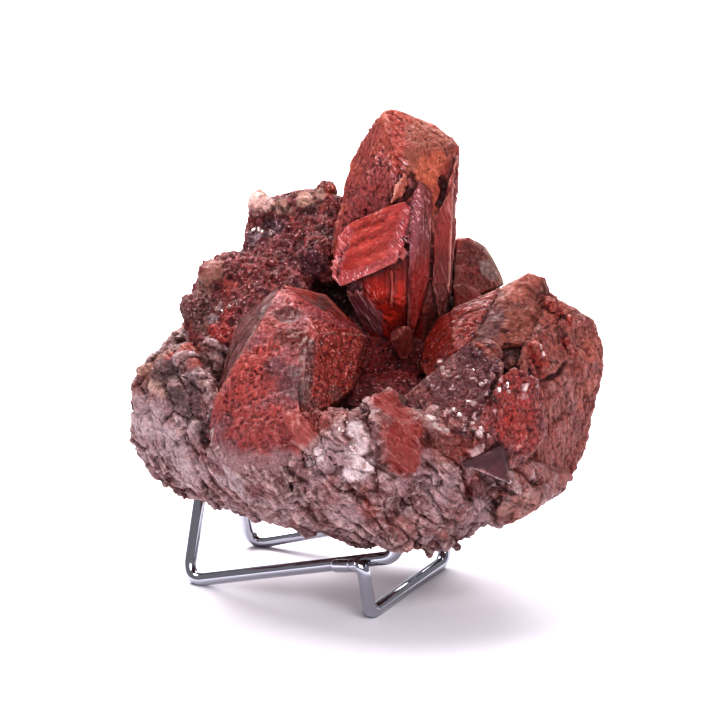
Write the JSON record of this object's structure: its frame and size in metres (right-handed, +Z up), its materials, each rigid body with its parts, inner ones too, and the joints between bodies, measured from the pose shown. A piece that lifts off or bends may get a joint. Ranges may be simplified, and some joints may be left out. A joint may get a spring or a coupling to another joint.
{
  "type": "red gypsum crystal specimen on a bent-wire display easel",
  "caption": "Cluster of bladed red-brown gypsum crystals in rough mauve matrix, resting on a low chromed bent-wire display easel.",
  "frame": {"origin": "on the table, under the middle of the object's box", "axes": "+Z up, +X to the viewer's right, -Y towards the viewer of the specimen's display face"},
  "size_m": [0.116, 0.088, 0.1185],
  "materials": {
    "gypsum": "rough crystalline, waxy to glassy on the crystal faces",
    "chromed_wire": "bright plated"
  },
  "bodies": {
    "root": {"gypsum_cluster": "gypsum", "easel_frame_wire": "chromed_wire", "easel_foot_wire": "chromed_wire"}
  },
  "joints": []
}
